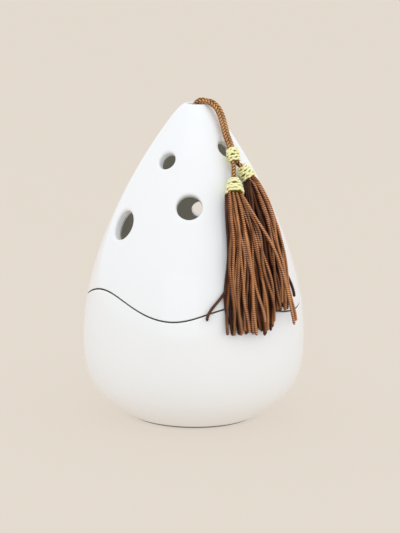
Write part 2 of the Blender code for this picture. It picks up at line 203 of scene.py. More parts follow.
# Cord. A round twelve-ply braid of copper-brown yarn, six plies each way, over and under each
# other, on a core painted dark as the shade between the plies. It is knotted inside the tip,
# comes up through the blow hole, bends over the rim and hangs down the shoulder to the collar wrap.
CORD_DIAMETER = 3.1 * MM
CORD_ROUTE = (
    (-0.4, 0.2, 124.0), (-0.3, 0.15, 125.2), (0.2, -0.1, 126.6), (1.2, -0.7, 127.8),
    (2.6, -1.5, 128.45), (4.1, -2.35, 128.5), (5.7, -3.25, 128.1), (7.3, -4.2, 127.2),
    (8.8, -5.3, 125.6), (9.95, -6.6, 123.4), (10.8, -8.2, 120.9), (11.5, -10.0, 118.5),
    (12.1, -11.9, 116.3), (12.9, -13.5, 114.4), (13.6, -14.8, 112.6), (14.3, -16.0, 110.9),
    (14.9, -17.1, 109.1), (15.25, -17.9, 107.7),
)
RIM_POINT = 5  # the route point on top of the rim, where the cord is pressed thin
RIM_SQUEEZE = 0.312  # share of its thickness that the cord loses there
SQUEEZE_REACH = 2.6 * MM
BEND_START, BEND_END = 5, 7  # route points between which the cord bends at the lift
CORD_PITCH = 8.2 * MM
CORD_PLIES = 6  # each way
PLY_WIDTH = 0.98 * MM
PLY_THICKNESS = 0.46 * MM
PLY_RISE = 0.18 * MM


def smooth(share):
    """0 to 1 with level ends."""
    share = min(max(share, 0.0), 1.0)
    return share * share * (3.0 - 2.0 * share)


def even_route(points, spacing):
    """Evenly spaced points on a smooth curve through the given ones."""
    fine = []
    padded = [points[0] * 2 - points[1]] + points + [points[-1] * 2 - points[-2]]
    for before, start, end, after in zip(padded, padded[1:], padded[2:], padded[3:]):
        for step in range(12):
            t = step / 12
            fine.append(0.5 * (
                2 * start + (end - before) * t
                + (2 * before - 5 * start + 4 * end - after) * t * t
                + (3 * start - before - 3 * end + after) * t ** 3))
    fine.append(points[-1].copy())
    lengths = [0.0]
    for start, end in zip(fine, fine[1:]):
        lengths.append(lengths[-1] + (end - start).length)
    count = max(2, round(lengths[-1] / spacing))
    spaced, index = [], 1
    for step in range(count + 1):
        goal = lengths[-1] * step / count
        while index < len(lengths) - 1 and lengths[index] < goal:
            index += 1
        share = (goal - lengths[index - 1]) / (lengths[index] - lengths[index - 1])
        spaced.append(fine[index - 1].lerp(fine[index], min(share, 1.0)))
    return spaced


def route_length(points):
    return sum((end - start).length for start, end in zip(points, points[1:]))


def stations(points, first_out=Vector((0.0, 0.0, 1.0))):
    """(place, along, across, out) at each point, carried along the route without a twist."""
    found, out = [], first_out
    for index, place in enumerate(points):
        before = points[max(index - 1, 0)]
        after = points[min(index + 1, len(points) - 1)]
        along = (after - before).normalized()
        out = out - along * out.dot(along)
        if out.length < 1e-6:
            out = along.orthogonal()
        out.normalize()
        found.append((place, along, along.cross(out), out))
    return found


def new_yarn():
    """An empty mesh with a UV map in millimetres and a painted light value per point, from dark crease to
    lit crown.
    """
    bm = bmesh.new()
    bm.loops.layers.uv.new("UVMap")
    bm.verts.layers.float.new("relief")
    return bm


def lay_tube(bm, places, sides, section):
    """Roll a grid into a closed tube. section(turn, step) gives (across, out, painted light)."""
    relief = bm.verts.layers.float["relief"]
    uv_map = bm.loops.layers.uv["UVMap"]
    steps = len(places) - 1
    grid = bmesh.ops.create_grid(bm, x_segments=sides, y_segments=steps, size=0.5,
                                 calc_uvs=True)["verts"]
    length = route_length([place[0] for place in places]) / MM
    around = 2.0 * math.pi * abs(complex(*section(0.0, 0)[:2])) / MM
    for face in {face for vert in grid for face in vert.link_faces}:
        for loop in face.loops:
            loop[uv_map].uv = (loop[uv_map].uv.x * around, loop[uv_map].uv.y * length)
    for vert in grid:
        turn = 2.0 * math.pi * (vert.co.x + 0.5)
        step = round((vert.co.y + 0.5) * steps)
        place, along, across, out = places[step]
        sideways, upwards, vert[relief] = section(turn, step)
        vert.co = place + across * sideways + out * upwards
    edges = {edge for vert in grid for edge in vert.link_edges if edge.is_boundary}
    ends = [edge for edge in edges
            if abs((edge.verts[0].co - edge.verts[1].co).normalized().dot(
                places[0 if (edge.verts[0].co - places[0][0]).length
                       < (edge.verts[0].co - places[-1][0]).length else -1][1])) < 0.5]
    bmesh.ops.holes_fill(bm, edges=ends, sides=0)
    bmesh.ops.remove_doubles(bm, verts=grid, dist=0.000001)


def close_tubes(bm):
    """Fill what is still open and turn every tube outwards."""
    loose = [edge for edge in bm.edges if edge.is_boundary]
    if loose:
        bmesh.ops.holes_fill(bm, edges=loose, sides=0)
    bmesh.ops.recalc_face_normals(bm, faces=bm.faces)


def braid(bm, places, plies, pitch, radius_at, width, thickness, rise, sides=6):
    """Plies each way round the route, every one over two and under two of the others."""
    spacing = route_length([place[0] for place in places]) / (len(places) - 1)
    for way in (1.0, -1.0):
        for ply in range(plies):
            path = []
            for step, (place, along, across, out) in enumerate(places):
                turn = way * 2.0 * math.pi * step * spacing / pitch
                turn += 2.0 * math.pi * ply / plies
                over = way * math.cos(0.5 * plies * turn + 0.25 * math.pi)
                spoke = across * math.cos(turn) + out * math.sin(turn)
                path.append((place + spoke * (radius_at(step) + rise * over), spoke, over))
            line = [point for point, spoke, over in path]
            laid = []
            for step, (point, spoke, over) in enumerate(path):
                along = (line[min(step + 1, len(line) - 1)] - line[max(step - 1, 0)]).normalized()
                spoke = (spoke - along * spoke.dot(along)).normalized()
                laid.append((point, along, along.cross(spoke), spoke))

            # Painted light: each ply is drawn light on its outer crown, dark at its edges, and darker where
            # it passes under.
            def section(turn, step, path=path):
                crown = 0.5 + 0.5 * math.sin(turn)
                return (0.5 * width * math.cos(turn), 0.5 * thickness * math.sin(turn),
                        crown ** 1.5 * (0.62 + 0.38 * path[step][2]))

            lay_tube(bm, laid, sides, section)


def painted_shade_core(bm, places, radius_at, sides=16):
    """A round core, painted the darkest crease shade, that closes the gaps between the plies."""
    def section(turn, step):
        radius = radius_at(step)
        return radius * math.cos(turn), radius * math.sin(turn), 0.0

    lay_tube(bm, places, sides, section)


def finish_piece(name, bm, finish, body, smooth_angle=50.0):
    """Make the mesh, give it its finish, and let it move with its body."""
    mesh = bpy.data.meshes.new(name)
    bm.to_mesh(mesh)
    bm.free()
    mesh.shade_smooth()
    mesh.set_sharp_from_angle(angle=math.radians(smooth_angle))
    mesh.materials.append(finish.material)
    piece = bpy.data.objects.new(name, mesh)
    scene.collection.objects.link(piece)
    if body:
        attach(piece, body)
    return piece


def yarn_finish(name, crease, middle, crown, roughness, metallic, shine):
    """Satin yarn: painted shade in the creases, a painted highlight on the crowns, with fine fibres along
    it.
    """
    yarn = Finish(name, {"Metallic": metallic, "Specular IOR Level": shine})
    place = yarn.node("ShaderNodeTexCoord", {}, {}, "Object")
    along = yarn.node("ShaderNodeTexCoord", {}, {}, "UV")
    relief = yarn.node("ShaderNodeAttribute", {"attribute_name": "relief"}, {}, "Fac")
    stretched = yarn.node("ShaderNodeMapping", {}, {"Vector": along, "Scale": (9.0, 1.2, 1.0),
                                                     "Rotation": (0.0, 0.0, 0.6)})
    fibre = yarn.grain(stretched, 1.0, 4.0, 0.6)
    patch = yarn.grain(place, 240.0)
    tone_and_painted_light = relief + (fibre - 0.5) * 0.25 + (patch - 0.5) * 0.35
    # Painted light: the ramp runs from the crease colour, a painted shade, through the yarn's own colour to
    # the crown colour, a painted highlight.
    colour = yarn.node("ShaderNodeValToRGB", {"stops": (
        (0.10, crease), (0.48, middle), (0.90, crown))}, {"Fac": tone_and_painted_light})
    yarn.feed(yarn.surface, {
        "Base Color": colour,
        "Roughness": roughness + (fibre - 0.5) * 0.25,
        "Normal": yarn.raise_surface(fibre, 0.00006)})
    return yarn


# The crease colour is painted shade, the crown colour a painted highlight, the middle one the yarn's own
# brown.
cord_yarn = yarn_finish("plaited_brown_yarn", (0.004, 0.001, 0.001), (0.085, 0.027, 0.008),
                        (0.72, 0.37, 0.14), 0.45, 0.0, 0.22)

cord_points = even_route([Vector(point) * MM for point in CORD_ROUTE], 0.28 * MM)
cord_places = stations(cord_points, Vector((0.5, 0.85, 0.0)))
ply_circle = 0.5 * (CORD_DIAMETER - PLY_THICKNESS) - PLY_RISE
rim = Vector(CORD_ROUTE[RIM_POINT]) * MM
circles = []
for point in cord_points:
    near = math.cos(math.pi * min((point - rim).length / SQUEEZE_REACH, 1.0))
    circles.append(ply_circle * (1.0 - RIM_SQUEEZE * (0.5 + 0.5 * near)))
bm = new_yarn()
braid(bm, cord_places, CORD_PLIES, CORD_PITCH, lambda step: circles[step], PLY_WIDTH,
      PLY_THICKNESS, PLY_RISE)
painted_shade_core(bm, cord_places, lambda step: circles[step] - 0.12 * MM)
close_tubes(bm)
cord = finish_piece("plaited_cord", bm, cord_yarn, None)
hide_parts("cord_neck", "cord_drop")
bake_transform(cord, "cord_neck", "cord_drop", Vector(CORD_ROUTE[BEND_START]) * MM,
         Vector(CORD_ROUTE[BEND_END]) * MM)

# Stopper knot. The inner end of the same cord, tied in an overhand knot and pulled tight
# under the blow hole, so that the cord can't slip out through it.
KNOT_HEIGHT = 118.3 * MM
KNOT_REACH = 2.35 * MM
KNOT_WAIST = 1.3 * MM
KNOT_CORD = 2.4 * MM
KNOT_STEPS = 110
knot_points = []
for step in range(KNOT_STEPS + 1):
    turn = 2.0 * math.pi * step / KNOT_STEPS
    reach = KNOT_REACH + KNOT_WAIST * math.cos(3.0 * turn)
    knot_points.append(Vector((reach * math.cos(2.0 * turn), reach * math.sin(2.0 * turn),
                               KNOT_HEIGHT + 1.5 * KNOT_WAIST * math.sin(3.0 * turn))))
knot_circle = 0.5 * (KNOT_CORD - PLY_THICKNESS) - 0.1 * MM
tail_points = even_route([Vector((0.0, 0.0, KNOT_HEIGHT)), Vector((-0.4 * MM, 0.2 * MM, 0.121)),
                          Vector(CORD_ROUTE[0]) * MM, Vector(CORD_ROUTE[1]) * MM], 0.4 * MM)
bm = new_yarn()
for line in (knot_points, tail_points):
    places = stations(line)
    braid(bm, places, 6, 8.0 * MM, lambda step: knot_circle, PLY_WIDTH, PLY_THICKNESS,
          0.1 * MM, 5)
    painted_shade_core(bm, places, lambda step: knot_circle - 0.1 * MM, 10)
close_tubes(bm)
knot = finish_piece("overhand_knot", bm, cord_yarn, "cord_neck")
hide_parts("stopper_knot")

# Lower shell. White porcelain, thrown or slip-cast as one egg with the upper shell and cut
# from it along a wavy line. Glazed outside, bare clay inside and on the foot ring, with a
# thin lip inside the wall that the upper shell sits over.
FOOT_RADIUS = 24.7 * MM
BELLY_RADIUS = 45.0 * MM
BELLY_HEIGHT = 32.4 * MM
SHOULDER_RADIUS = 9.9 * MM
SHOULDER_HEIGHT = 121.9 * MM
TIP_RADIUS = 4.3 * MM
TIP_HEIGHT = 127.3 * MM
FOOT_ANGLE = 31.2  # rise of the wall just above the foot
SHOULDER_SLOPE = 36.1  # lean of the wall from the vertical at the shoulder
FOOT_HANDLE, UNDER_BELLY_HANDLE = 0.47, 0.635  # curve handles, as shares of the belly's height
OVER_BELLY_HANDLE, SHOULDER_HANDLE = 0.276, 0.447  # of the rise from belly to shoulder
CROWN_HANDLE, TIP_HANDLE = 0.45, 0.2  # of the rise from shoulder to tip
WALL = 3.5 * MM
FOOT_RING_WIDTH = 4.6 * MM
FOOT_RECESS = 1.2 * MM
WAVE = (
    (-57.0, 55.6 * MM), (-12.0, 47.3 * MM), (22.0, 52.6 * MM), (66.0, 47.4 * MM),
    (113.0, 54.2 * MM), (161.0, 47.6 * MM), (210.0, 54.0 * MM), (258.0, 48.0 * MM),
)
PARTING_GAP = 0.5 * MM
LIP_HEIGHT = 4.0 * MM
LIP_THICKNESS = 1.4 * MM
LIP_CLEARANCE = 0.4 * MM
LIP_SETBACK = WALL - LIP_THICKNESS
SHELL_STEPS = 240
EDGE_ROUND = 0.42 * MM
PAINTED_SHADE_REACH = 0.8 * MM  # how far the painted shade runs in from the joint and up from the foot


def bezier(start, leave, arrive, end, steps):
    """Points of a cubic curve from start to end, both included."""
    points = []
    for step in range(steps + 1):
        t = step / steps
        weights = ((1 - t) ** 3, 3 * (1 - t) ** 2 * t, 3 * (1 - t) * t * t, t ** 3)
        corners = (start, leave, arrive, end)
        points.append(tuple(
            sum(w * c[axis] for w, c in zip(weights, corners)) for axis in (0, 1)))
    return points


def shell_outline(steps):
    """Outer half-outline (radius, height) from the foot to the rim of the blow hole."""
    foot_rise = math.radians(FOOT_ANGLE)
    lean = math.radians(SHOULDER_SLOPE)
    slope = (-math.sin(lean), math.cos(lean))
    foot = (FOOT_RADIUS, 0.0)
    belly = (BELLY_RADIUS, BELLY_HEIGHT)
    shoulder = (SHOULDER_RADIUS, SHOULDER_HEIGHT)
    tip = (TIP_RADIUS, TIP_HEIGHT)
    foot_pull = FOOT_HANDLE * BELLY_HEIGHT
    belly_pull = UNDER_BELLY_HANDLE * BELLY_HEIGHT
    rise = SHOULDER_HEIGHT - BELLY_HEIGHT
    crown = TIP_HEIGHT - SHOULDER_HEIGHT
    under = bezier(
        foot,
        (foot[0] + foot_pull * math.cos(foot_rise), foot_pull * math.sin(foot_rise)),
        (belly[0], belly[1] - belly_pull), belly, steps)
    shoulder_pull = SHOULDER_HANDLE * rise
    crown_pull = CROWN_HANDLE * crown
    over = bezier(
        belly, (belly[0], belly[1] + OVER_BELLY_HANDLE * rise),
        (shoulder[0] - shoulder_pull * slope[0], shoulder[1] - shoulder_pull * slope[1]),
        shoulder, 2 * steps)
    rim = bezier(
        shoulder, (shoulder[0] + crown_pull * slope[0], shoulder[1] + crown_pull * slope[1]),
        (tip[0] + TIP_HANDLE * crown, tip[1]), tip, steps)
    return under + over[1:] + rim[1:]


OUTLINE = shell_outline(60)
OUTLINE_HEIGHTS = [height for radius, height in OUTLINE]


def wall_at(height):
    """Outer radius of the shell at a height, and the lean of its outward normal in radians."""
    index = min(max(bisect.bisect_left(OUTLINE_HEIGHTS, height), 1), len(OUTLINE) - 1)
    (r0, z0), (r1, z1) = OUTLINE[index - 1], OUTLINE[index]
    share = min(max((height - z0) / max(z1 - z0, 1e-9), 0.0), 1.0)
    return r0 + (r1 - r0) * share, math.atan2(r0 - r1, z1 - z0)


def wave_height(azimuth):
    """Height of the parting line: eased from crest to trough and back."""
    around = WAVE + ((WAVE[0][0] + 360.0, WAVE[0][1]),)
    place = (azimuth - WAVE[0][0]) % 360.0 + WAVE[0][0]
    for (a0, z0), (a1, z1) in zip(around, around[1:]):
        if a0 <= place <= a1:
            share = (place - a0) / (a1 - a0)
            return z0 + (z1 - z0) * (0.5 - 0.5 * math.cos(math.pi * share))
    return WAVE[0][1]


WAVE_MIDDLE = sum(height for azimuth, height in WAVE) / len(WAVE)
WAVE_REACH = max(abs(height - WAVE_MIDDLE) for azimuth, height in WAVE)
WAVE_FADE = 3.2 * WAVE_REACH
BAND = WAVE_FADE + LIP_HEIGHT  # rings this near the parting line follow it


def follow_wave(bm):
    """Shift the rings near the parting line so that it rises and falls round the body."""
    for vert in bm.verts:
        reach = math.hypot(vert.co.x, vert.co.y)
        if reach < 0.5 * BELLY_RADIUS:
            continue
        azimuth = math.degrees(math.atan2(vert.co.x, -vert.co.y))
        fade = 1.0 - smooth((abs(vert.co.z - WAVE_MIDDLE) - LIP_HEIGHT) / WAVE_FADE)
        depth = wall_at(vert.co.z)[0] - reach
        height = vert.co.z + fade * (wave_height(azimuth) - WAVE_MIDDLE)
        scale = (wall_at(height)[0] - depth) / reach
        vert.co = Vector((vert.co.x * scale, vert.co.y * scale, height))


def level_rings(low, high, inset, count):
    """(radius, height) points up the wall from low to high, inset from the outer surface."""
    heights = [low + (high - low) * step / count for step in range(count + 1)]
    return [(wall_at(height)[0] - inset, height) for height in heights]


def wall_rings(low, high, depth, count):
    """(radius, height) points of the wall between two heights, set in square by depth."""
    span = [ring for ring in OUTLINE if low <= ring[1] <= high]
    rings = []
    for step in range(count + 1):
        radius, height = span[round(step * (len(span) - 1) / count)]
        lean = wall_at(height)[1]
        rings.append((radius - depth * math.cos(lean), height - depth * math.sin(lean)))
    return rings


def turned(profile, steps):
    """A solid of revolution about Z from a closed profile of (radius, height) points."""
    bm = bmesh.new()
    verts = [bm.verts.new((radius, 0.0, height)) for radius, height in profile]
    edges = [bm.edges.new(pair) for pair in zip(verts, verts[1:])]
    if profile[0][0] > 0.0:
        edges.append(bm.edges.new((verts[-1], verts[0])))
    bmesh.ops.spin(bm, geom=verts + edges, cent=(0, 0, 0), axis=(0, 0, 1),
                   angle=2 * math.pi, steps=steps, use_merge=True)
    bmesh.ops.remove_doubles(bm, verts=bm.verts, dist=0.000005)
    bmesh.ops.recalc_face_normals(bm, faces=bm.faces)
    return bm


def round_rings(bm, corners, offset):
    """Round the ring edges that lie on those (radius, height) corners of the profile."""
    found = []
    for edge in bm.edges:
        spots = [(math.hypot(vert.co.x, vert.co.y), vert.co.z) for vert in edge.verts]
        if any(all(math.hypot(spot[0] - r, spot[1] - z) < 0.00003 for spot in spots)
               for r, z in corners):
            found.append(edge)
    bmesh.ops.bevel(bm, geom=found, offset=offset, offset_type="OFFSET", segments=3,
                    profile=0.5, affect="EDGES", clamp_overlap=True, material=-1)


def mark_clay_and_painted_shade(mesh):
    """Mark each point 0 if glazed, 0.5 on the bare joint and foot ring, painted dark as shade, 1 on bare
    inside.
    """
    clay = mesh.attributes.new("clay", "FLOAT", "POINT")
    for vert, mark in zip(mesh.vertices, clay.data):
        radius, lean = wall_at(vert.co.z)
        reach = math.hypot(vert.co.x, vert.co.y)
        depth = (radius - reach) * math.cos(lean)
        azimuth = math.degrees(math.atan2(vert.co.x, -vert.co.y))
        near_seam = abs(vert.co.z - wave_height(azimuth)) < EDGE_ROUND + PAINTED_SHADE_REACH
        # Painted shade: the foot ring and the rounded edges at the joint get the dark clay colour, for the
        # shadow under the foot and in the gap.
        if vert.co.z < FOOT_RECESS + 0.5 * MM and reach < FOOT_RADIUS + 2.0 * PAINTED_SHADE_REACH:
            mark.value = 0.5
        elif near_seam and depth > 0.6 * EDGE_ROUND and reach > 0.5 * BELLY_RADIUS:
            mark.value = 0.5
        else:
            mark.value = smooth((depth - 0.86 * WALL) / (0.08 * WALL))


glaze = Finish("white_glazed_porcelain", {"IOR": 1.5, "Specular IOR Level": 0.5,
                                          "Emission Strength": 1.0})
glaze_place = glaze.node("ShaderNodeTexCoord", {}, {}, "Object")
clay_and_shade_mark = glaze.node("ShaderNodeAttribute", {"attribute_name": "clay"}, {}, "Fac")
cloud = glaze.grain(glaze_place, 28.0)
pore = glaze.grain(glaze_place, 1400.0, 5.0, 0.65)
ripple = glaze.grain(glaze_place, 46.0, 1.0)
glaze_colour = glaze.mix(cloud, (0.905, 0.915, 0.92, 1.0), (0.93, 0.94, 0.945, 1.0))
# Painted shade: bare clay drawn dark grey, far darker than the white body, for the shadow at the joint and
# under the foot.
shaded_clay_colour = glaze.mix(pore, (0.16, 0.15, 0.13, 1.0), (0.24, 0.225, 0.20, 1.0))
# Painted shade: the bare clay inside is drawn darker and olive, as the hollow is in shade.
shaded_inside_colour = glaze.mix(pore, (0.66, 0.645, 0.57, 1.0), (0.78, 0.765, 0.69, 1.0))
bare_and_shaded_share = glaze.node("ShaderNodeMapRange", {}, {"Value": clay_and_shade_mark, "From Min": 0.1,
                                                    "From Max": 0.4})
inside_share = glaze.node("ShaderNodeMapRange", {}, {"Value": clay_and_shade_mark, "From Min": 0.6,
                                                      "From Max": 0.95})
outer_colour = glaze.mix(bare_and_shaded_share, glaze_colour, shaded_clay_colour)
# Painted light: the inside also glows faintly through its emission, a glow with no lamp.
glaze.feed(glaze.surface, {
    "Base Color": glaze.mix(inside_share, outer_colour, shaded_inside_colour),
    "Emission Color": glaze.mix(inside_share, (0.0, 0.0, 0.0, 1.0), (0.030, 0.029, 0.026, 1.0)),
    "Roughness": 0.07 + cloud * 0.05 + bare_and_shaded_share * 0.6,
    "Normal": glaze.raise_surface(ripple * 0.6 + pore * bare_and_shaded_share * 0.25
                                  + pore * 0.012, 0.00012)})

seam_low = WAVE_MIDDLE - 0.5 * PARTING_GAP
lip_top = seam_low + LIP_HEIGHT
ring_inner = FOOT_RADIUS - FOOT_RING_WIDTH
inner_floor = FOOT_RECESS + WALL
outer_wall = wall_rings(0.0, BELLY_HEIGHT, 0.0, 30)
outer_wall += level_rings(BELLY_HEIGHT, seam_low, 0.0, 18)[1:]
lip_outer = level_rings(seam_low, lip_top, LIP_SETBACK, 6)
lip_inner = level_rings(lip_top, seam_low, WALL, 6)
inner_wall = [ring for ring in wall_rings(0.0, seam_low - 0.5 * BAND, WALL, 30)
              if ring[1] > inner_floor + 0.5 * WALL]
inner_wall += level_rings(seam_low - 0.45 * BAND, seam_low, WALL, 6)[:-1]
inner_wall.reverse()
floor_radius = inner_wall[-1][0] - WALL
profile = [(0.0, FOOT_RECESS), (0.5 * ring_inner, FOOT_RECESS),
           (ring_inner - FOOT_RECESS, FOOT_RECESS), (ring_inner, 0.0)]
profile += outer_wall + lip_outer + lip_inner + inner_wall
profile += [(floor_radius, inner_floor), (0.5 * floor_radius, inner_floor), (0.0, inner_floor)]
bm = turned(profile, SHELL_STEPS)
round_rings(bm, (outer_wall[-1], lip_outer[-1], lip_inner[0]), EDGE_ROUND)
round_rings(bm, ((ring_inner, 0.0), (FOOT_RADIUS, 0.0)), 0.35 * MM)
follow_wave(bm)
lower_shell = finish_piece("porcelain_bowl", bm, glaze, "bowl", 40.0)
mark_clay_and_painted_shade(lower_shell.data)
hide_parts("lower_shell")

# Upper shell. The rest of the porcelain egg: the blow hole at the tip, five finger holes in
# front, one of them under the tassels, and a thumb hole behind, all cut square to the wall
# while the clay was soft and their rims rubbed round before the glaze.
BLOW_HOLE_RADIUS = 3.6 * MM
HOLES = (
    ("upper_left", -34.6, 106.7 * MM, 3.5 * MM),
    ("upper_right", 45.3, 111.1 * MM, 3.5 * MM),
    ("middle", -4.4, 90.3 * MM, 5.0 * MM),
    ("lower_left", -58.5, 81.0 * MM, 6.0 * MM),
    ("lower_right", 58.5, 81.0 * MM, 6.0 * MM),
    ("thumb", 175.0, 80.5 * MM, 4.0 * MM),
)
HOLE_STEPS = 72
RIM_ROUND = 1.3 * MM


def on_shell(azimuth, height, clear):
    """The point that stands clear of the outer surface, square to it, at azimuth and height."""
    radius, lean = wall_at(height)
    turn = math.radians(azimuth)
    reach = radius + clear * math.cos(lean)
    return Vector((reach * math.sin(turn), -reach * math.cos(turn),
                   height + clear * math.sin(lean)))


def sink_to_shell(point, inward):
    """Slide a point along a line until it lies on the outer surface."""
    for trial in range(8):
        radius, lean = wall_at(point.z)
        gap = (math.hypot(point.x, point.y) - radius) * math.cos(lean)
        point = point + inward * gap
    return point


def hole_cutter(name, azimuth, height, radius):
    """A plug square to the wall whose neck flares into a round rim that follows the wall."""
    lean = wall_at(height)[1]
    turn = Matrix.Rotation(math.radians(azimuth), 4, "Z") @ Matrix.Rotation(
        math.radians(90.0) - lean, 4, "X")
    inward = -(turn.to_3x3() @ Vector((0.0, 0.0, 1.0)))
    middle = on_shell(azimuth, height, 0.0)
    rings = [(radius, -1.7 * WALL, False), (radius, -0.96 * WALL, True),
             (radius, -0.86 * WALL, True)]
    for step in range(7):
        bend = math.radians(12.0 + 66.0 * step / 6)
        rings.append((radius + RIM_ROUND * (1.0 - math.cos(bend)),
                      -RIM_ROUND * (1.0 - math.sin(bend)), True))
    rings.append((radius + 2.2 * RIM_ROUND, 0.35 * RIM_ROUND, True))
    rings.append((radius + 2.2 * RIM_ROUND, WALL, False))
    bm = bmesh.new()
    below = None
    for reach, rise, on_wall in rings:
        ring = bmesh.ops.create_circle(bm, segments=HOLE_STEPS, radius=reach)["verts"]
        for vert in ring:
            vert.co = middle + turn.to_3x3() @ vert.co
            if on_wall:
                vert.co = sink_to_shell(vert.co, inward)
            vert.co = vert.co - inward * rise
        loop = list({edge for vert in ring for edge in vert.link_edges})
        if below:
            bmesh.ops.bridge_loops(bm, edges=below + loop)
        below = loop
    bmesh.ops.holes_fill(bm, edges=[edge for edge in bm.edges if edge.is_boundary], sides=0)
    bmesh.ops.recalc_face_normals(bm, faces=bm.faces)
    mesh = bpy.data.meshes.new(name)
    bm.to_mesh(mesh)
    bm.free()
    cutter = bpy.data.objects.new(name, mesh)
    scene.collection.objects.link(cutter)
    return cutter


seam_high = WAVE_MIDDLE + 0.5 * PARTING_GAP
rebate_top = lip_top + LIP_CLEARANCE
rebate_inset = LIP_SETBACK - LIP_CLEARANCE
throat = TIP_HEIGHT - WALL
outer_wall = level_rings(seam_high, seam_high + 0.8 * BAND, 0.0, 24)
outer_wall += wall_rings(seam_high + 0.85 * BAND, SHOULDER_HEIGHT, 0.0, 48)
outer_wall += wall_rings(SHOULDER_HEIGHT, TIP_HEIGHT, 0.0, 14)[1:]
mouth = [(BLOW_HOLE_RADIUS + 0.25 * MM, TIP_HEIGHT - 0.12 * MM),
         (BLOW_HOLE_RADIUS, TIP_HEIGHT - 0.6 * MM),
         (BLOW_HOLE_RADIUS, 0.5 * (TIP_HEIGHT + throat)), (BLOW_HOLE_RADIUS, throat)]
inner_wall = [ring for ring in wall_rings(seam_high + 0.85 * BAND, TIP_HEIGHT, WALL, 50)
              if ring[0] > BLOW_HOLE_RADIUS + 0.5 * MM]
inner_wall.reverse()
lower_inner = level_rings(seam_high + 0.8 * BAND, rebate_top, WALL, 10)
rebate = level_rings(rebate_top, seam_high, rebate_inset, 6)
bm = turned(outer_wall + mouth + inner_wall + lower_inner + rebate, SHELL_STEPS)
round_rings(bm, (outer_wall[0], rebate[-1]), EDGE_ROUND)
follow_wave(bm)
upper_shell = finish_piece("porcelain_cap", bm, glaze, None, 40.0)
cutters = []
for name, azimuth, height, radius in HOLES:
    cutters.append(hole_cutter(name + "_punch", azimuth, height, radius))
    cut = upper_shell.modifiers.new(name, "BOOLEAN")
    cut.operation = "DIFFERENCE"
    cut.solver = "EXACT"
    cut.object = cutters[-1]
bpy.context.view_layer.update()
pierced = bpy.data.meshes.new_from_object(
    upper_shell.evaluated_get(bpy.context.evaluated_depsgraph_get()))
upper_shell.modifiers.clear()
upper_shell.data = pierced
for cutter in cutters:
    bpy.data.objects.remove(cutter)
pierced.materials.clear()
pierced.materials.append(glaze.material)
pierced.shade_smooth()
pierced.set_sharp_from_angle(angle=math.radians(40.0))
mark_clay_and_painted_shade(pierced)
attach(upper_shell, "lid")
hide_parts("upper_shell")

# Collar wrap. Gilt thread bound round the end of the cord in a criss-cross net, over a bed
# painted dark as the shade between the loops, to hold the two tassel cords that come out below it.
WRAP_LENGTH = 5.6 * MM
WRAP_RADIUS = 2.75 * MM
WRAP_OVERHANG = 1.2 * MM
WRAP_STEPS = 40
WRAP_ROWS, WRAP_LOOPS = 5, 5
WRAP_THREAD = 0.52 * MM
WRAP_SWAY = 0.17 * MM
GILT_THICKNESS = 0.5 * MM
GILT_GROOVE = 0.12  # depth of a thread's twist, as a share of its radius
GILT_LAY = 2.4  # length of one twist, in radii of the thread
GILT_BED_SIDES = 28
EDGE_SHADE = 0.9  # painted shade: how much darker a thread is drawn on its sides and back, where it dips between its neighbours
RIB_CONTRAST = 2.9  # painted shade in the grooves for each share of depth

# Painted light: the crease colour is painted shade between the loops, the pale crown a painted highlight.
gilt_thread = yarn_finish("pale_gilt_thread", (0.11, 0.09, 0.012), (0.93, 0.85, 0.33),
                          (1.0, 0.98, 0.62), 0.35, 0.1, 0.4)

wrap_down = (Vector(CORD_ROUTE[-1]) - Vector(CORD_ROUTE[-3])).normalized()
wrap_end = Vector(CORD_ROUTE[-1]) * MM + wrap_down * WRAP_OVERHANG
wrap_places = stations([wrap_end - wrap_down * WRAP_LENGTH * (1.0 - step / WRAP_STEPS)
                        for step in range(WRAP_STEPS + 1)])


def wrap_radius(step):
    """Radius of the wrap: a low barrel, drawn in at both ends."""
    share = step / WRAP_STEPS
    return WRAP_RADIUS - 1.45 * GILT_THICKNESS - 0.6 * MM * abs(2.0 * share - 1.0) ** 3


def twisted(bm, places, radius_at, lay, sides, shade, groove, tone_and_painted_light=1.0, start_turn=0.0):
    """Two plies twisted together: a round thread with two ribs that wind along it, painted darker in its
    grooves and on its sides and back.
    """
    spacing = route_length([place[0] for place in places]) / (len(places) - 1)

    def section(turn, step):
        rib = abs(math.cos(turn - 2.0 * math.pi * step * spacing / lay + start_turn))
        radius = radius_at(step) * (1.0 - groove + groove * rib ** 0.7)
        # Painted light: lighter on the side turned out, darker on the sides and back and in the grooves.
        facing = 1.0 - shade * (0.5 - 0.5 * math.sin(turn))
        light = tone_and_painted_light * facing * (1.0 - RIB_CONTRAST * groove * (1.0 - rib ** 1.3))
        return radius * math.cos(turn), radius * math.sin(turn), light

    lay_tube(bm, places, sides, section)


def looped_rows(bm, places, radius_at, rows, loops, thread, sway, chance):
    """Rows of gilt thread round a bed, each swaying up and down against the next."""
    start, end = places[0][0], places[-1][0]
    down = (end - start).normalized()
    length = (end - start).length
    across, out = places[0][2], places[0][3]
    count = 16 * loops
    for row in range(rows):
        share = (row + 0.5) / rows
        phase = math.pi * row + chance.uniform(-0.5, 0.5)
        tilt = chance.uniform(-0.05, 0.05) * length
        ring = []
        for step in range(count + 1):
            turn = 2.0 * math.pi * step / count
            swing = math.sin(loops * turn + phase) + 0.5 * math.sin(3.0 * turn + row)
            place = start + down * (length * share + sway * swing + tilt * math.cos(turn + row))
            lift = 0.3 * thread * math.cos(2.0 * loops * turn + row)
            spoke = across * math.cos(turn) + out * math.sin(turn)
            ring.append(place + spoke * (radius_at(share) + 0.2 * thread + lift))
        twisted(bm, stations(ring, across), lambda step: thread, GILT_LAY * thread, 8, EDGE_SHADE,
                GILT_GROOVE)


